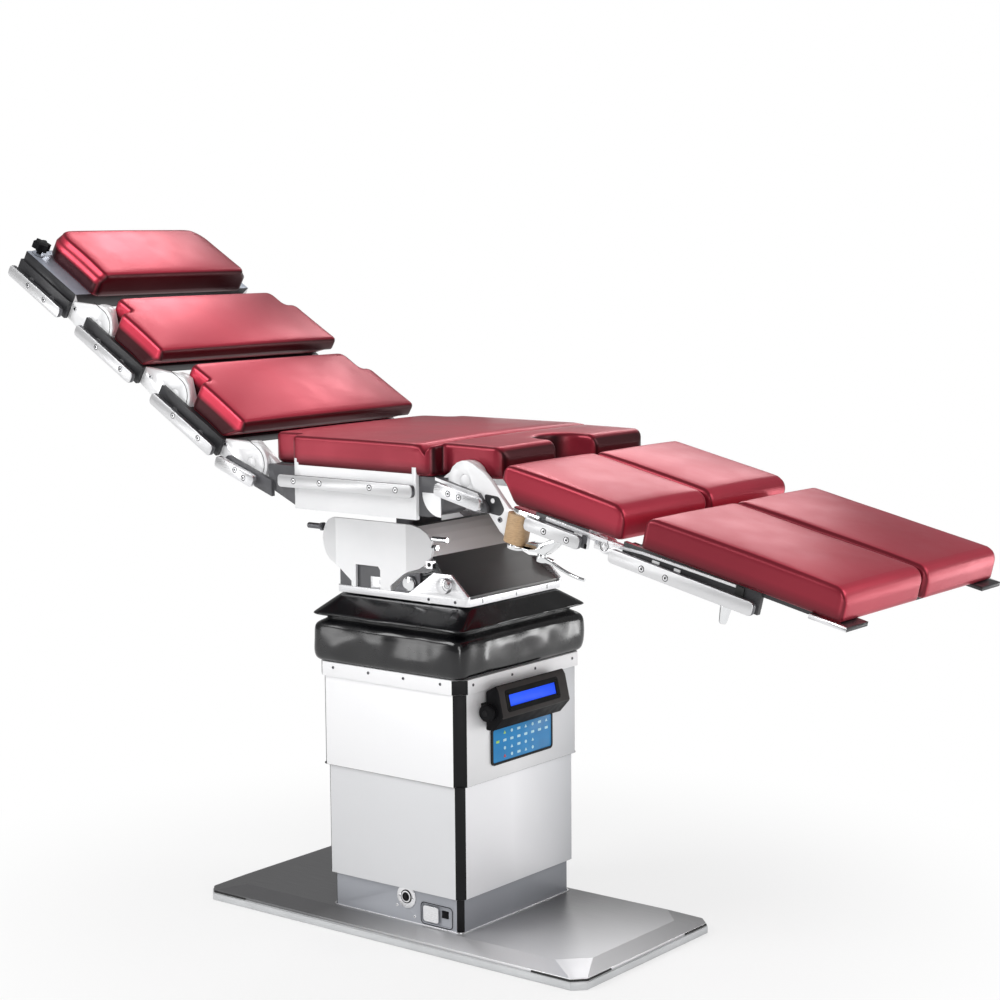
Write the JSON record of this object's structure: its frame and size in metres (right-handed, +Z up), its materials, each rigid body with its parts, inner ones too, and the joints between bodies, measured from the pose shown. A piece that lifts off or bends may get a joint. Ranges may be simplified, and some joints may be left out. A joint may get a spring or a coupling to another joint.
{
  "type": "operating table",
  "caption": "Column-mounted surgical operating table with lifting column, two-axis tilt, jointed back and head sections and split swing-out leg sections.",
  "frame": {"origin": "on the floor under the middle of the lifting column", "axes": "+X towards the foot end of the table top, +Y towards the patient's left, +Z up"},
  "size_m": [2.0669, 0.58, 1.4157],
  "materials": {
    "black_frame": "black powder coat",
    "black_plastic": "black moulded plastic",
    "blue_film": "printed blue membrane film",
    "brushed_steel": "vertically brushed stainless steel",
    "bush_tan": "tan laminated bearing block",
    "chrome": "polished chrome",
    "dark_frame": "dark grey powder coat",
    "dark_gloss": "dark grey gloss enamel",
    "dark_steel": "dark machined steel",
    "grey_paint": "satin grey paint",
    "leatherette": "glossy black coated fabric",
    "screen": "lit blue display window",
    "steel": "satin stainless steel",
    "vinyl": "glossy crimson upholstery vinyl over foam",
    "white_steel": "white powder coat"
  },
  "bodies": {
    "root": {"base_frame": "grey_paint", "base_cover": "steel", "lower_sleeve": "brushed_steel", "service_panel": "steel", "power_socket": "steel", "lift_cylinder": "dark_steel"},
    "power_switch": {"power_switch": "black_plastic"},
    "middle": {"middle_sleeve": "brushed_steel"},
    "upper": {"upper_sleeve": "brushed_steel", "rim_band": "steel", "keypad": "blue_film", "display_bracket": "black_plastic", "bellows": "leatherette"},
    "display": {"display_housing": "black_plastic", "display_screen": "screen"},
    "display_knob": {"display_knob": "black_plastic"},
    "head": {"head_plate": "steel", "lift_piston": "chrome", "wedge_cover": "dark_gloss", "tilt_cheek_right": "white_steel", "tilt_cheek_left": "white_steel", "link_pin": "chrome"},
    "cross": {"tilt_cross": "dark_steel"},
    "seat": {"seat_frame": "dark_frame", "seat_rail_right": "steel", "seat_rail_left": "steel", "seat_cushion": "vinyl"},
    "lower_back": {"lower_back_frame": "black_frame", "lower_back_rail_right": "steel", "lower_back_rail_left": "steel", "lower_back_cushion": "vinyl"},
    "upper_back": {"upper_back_frame": "black_frame", "upper_back_rail_right": "steel", "upper_back_rail_left": "steel", "upper_back_cushion": "vinyl"},
    "head_rest": {"head_rest_frame": "black_frame", "head_rest_rail_right": "steel", "head_rest_rail_left": "steel", "head_rest_cushion": "vinyl"},
    "head_clamp_knob": {"head_clamp_knob": "black_plastic"},
    "hip_arm_right": {"hip_arm_right": "white_steel", "pivot_bush_right": "bush_tan"},
    "thigh_right": {"thigh_frame_right": "black_frame", "thigh_rail_right": "steel", "thigh_cushion_right": "vinyl"},
    "clamp_lever_right": {"clamp_lever_right": "chrome"},
    "calf_right": {"calf_frame_right": "black_frame", "calf_rail_right": "steel", "calf_cushion_right": "vinyl"},
    "lock_knob_right": {"lock_knob_right": "chrome"},
    "hip_arm_left": {"hip_arm_left": "white_steel", "pivot_bush_left": "bush_tan"},
    "thigh_left": {"thigh_frame_left": "black_frame", "thigh_rail_left": "steel", "thigh_cushion_left": "vinyl"},
    "clamp_lever_left": {"clamp_lever_left": "chrome"},
    "calf_left": {"calf_frame_left": "black_frame", "calf_rail_left": "steel", "calf_cushion_left": "vinyl"},
    "lock_knob_left": {"lock_knob_left": "chrome"}
  },
  "joints": [
    {"name": "middle_lift", "type": "slide", "parent": "root", "child": "middle", "axis": [0, 0, 1], "range_m": [-0.06, 0.01125]},
    {"name": "upper_lift", "type": "slide", "parent": "middle", "child": "upper", "axis": [0, 0, 1], "range_m": [-0.16, 0.03]},
    {"name": "head_lift", "type": "slide", "parent": "upper", "child": "head", "axis": [0, 0, 1], "range_m": [-0.04, 0.0075], "deforming": ["bellows"]},
    {"name": "trend", "type": "hinge", "parent": "head", "child": "cross", "pos_m": [-0.079, 0, 0.79], "axis": [0, 1, 0], "range_deg": [-25, 25]},
    {"name": "lateral", "type": "hinge", "parent": "cross", "child": "seat", "pos_m": [-0.079, 0, 0.86], "axis": [1, 0, 0], "range_deg": [-15, 15]},
    {"name": "back_lower", "type": "hinge", "parent": "seat", "child": "lower_back", "pos_m": [-0.3, 0, 0.946], "axis": [0, 1, 0], "range_deg": [-45, 30]},
    {"name": "back_upper", "type": "hinge", "parent": "lower_back", "child": "upper_back", "pos_m": [-0.51515, 0, 1.07527], "axis": [0, 1, 0], "range_deg": [-20, 30]},
    {"name": "head_rest", "type": "hinge", "parent": "upper_back", "child": "head_rest", "pos_m": [-0.74316, 0, 1.21227], "axis": [0, 1, 0], "range_deg": [-30, 30]},
    {"name": "head_clamp_turn", "type": "hinge", "parent": "head_rest", "child": "head_clamp_knob", "pos_m": [-0.9619, -0.24, 1.34371], "axis": [0.515, 0, 0.8572], "continuous": true},
    {"name": "display_tilt", "type": "hinge", "parent": "upper", "child": "display", "pos_m": [0.208, -0.019, 0.478], "axis": [0, 1, 0], "range_deg": [-8, 8]},
    {"name": "display_knob_turn", "type": "hinge", "parent": "upper", "child": "display_knob", "pos_m": [0.208, -0.019, 0.478], "axis": [0, 1, 0], "continuous": true},
    {"name": "power_rock", "type": "hinge", "parent": "root", "child": "power_switch", "pos_m": [0.1245, -0.1754, 0.0665], "axis": [1, 0, 0], "range_deg": [-4, 4]},
    {"name": "leg_right", "type": "hinge", "parent": "seat", "child": "hip_arm_right", "pos_m": [0.252, 0, 0.946], "axis": [0, -1, 0], "range_deg": [-70, 15]},
    {"name": "leg_swing_right", "type": "hinge", "parent": "hip_arm_right", "child": "thigh_right", "pos_m": [0.39095, -0.262, 0.91392], "axis": [0.225, 0, 0.9744], "range_deg": [-45, 0]},
    {"name": "clamp_turn_right", "type": "hinge", "parent": "thigh_right", "child": "clamp_lever_right", "pos_m": [0.45175, -0.262, 0.89988], "axis": [0.225, 0, 0.9744], "range_deg": [-40, 40]},
    {"name": "knee_right", "type": "hinge", "parent": "thigh_right", "child": "calf_right", "pos_m": [0.56957, 0, 0.85011], "axis": [0, 1, 0], "range_deg": [0, 85]},
    {"name": "lock_pull_right", "type": "slide", "parent": "calf_right", "child": "lock_knob_right", "axis": [-0.225, 0, -0.9744], "range_m": [0, 0.006], "stiffness_N_per_m": 300, "springref_m": -0.006},
    {"name": "leg_left", "type": "hinge", "parent": "seat", "child": "hip_arm_left", "pos_m": [0.252, 0, 0.946], "axis": [0, -1, 0], "range_deg": [-70, 15]},
    {"name": "leg_swing_left", "type": "hinge", "parent": "hip_arm_left", "child": "thigh_left", "pos_m": [0.39095, 0.262, 0.91392], "axis": [0.225, 0, 0.9744], "range_deg": [0, 45]},
    {"name": "clamp_turn_left", "type": "hinge", "parent": "thigh_left", "child": "clamp_lever_left", "pos_m": [0.45175, 0.262, 0.89988], "axis": [0.225, 0, 0.9744], "range_deg": [-40, 40]},
    {"name": "knee_left", "type": "hinge", "parent": "thigh_left", "child": "calf_left", "pos_m": [0.56957, 0, 0.85011], "axis": [0, 1, 0], "range_deg": [0, 85]},
    {"name": "lock_pull_left", "type": "slide", "parent": "calf_left", "child": "lock_knob_left", "axis": [-0.225, 0, -0.9744], "range_m": [0, 0.006], "stiffness_N_per_m": 300, "springref_m": -0.006}
  ],
  "couplings": [
    {"joint": "middle_lift", "follows": "upper_lift", "ratio": 0.375},
    {"joint": "head_lift", "follows": "upper_lift", "ratio": 0.25},
    {"joint": "leg_left", "follows": "leg_right", "ratio": 1}
  ]
}
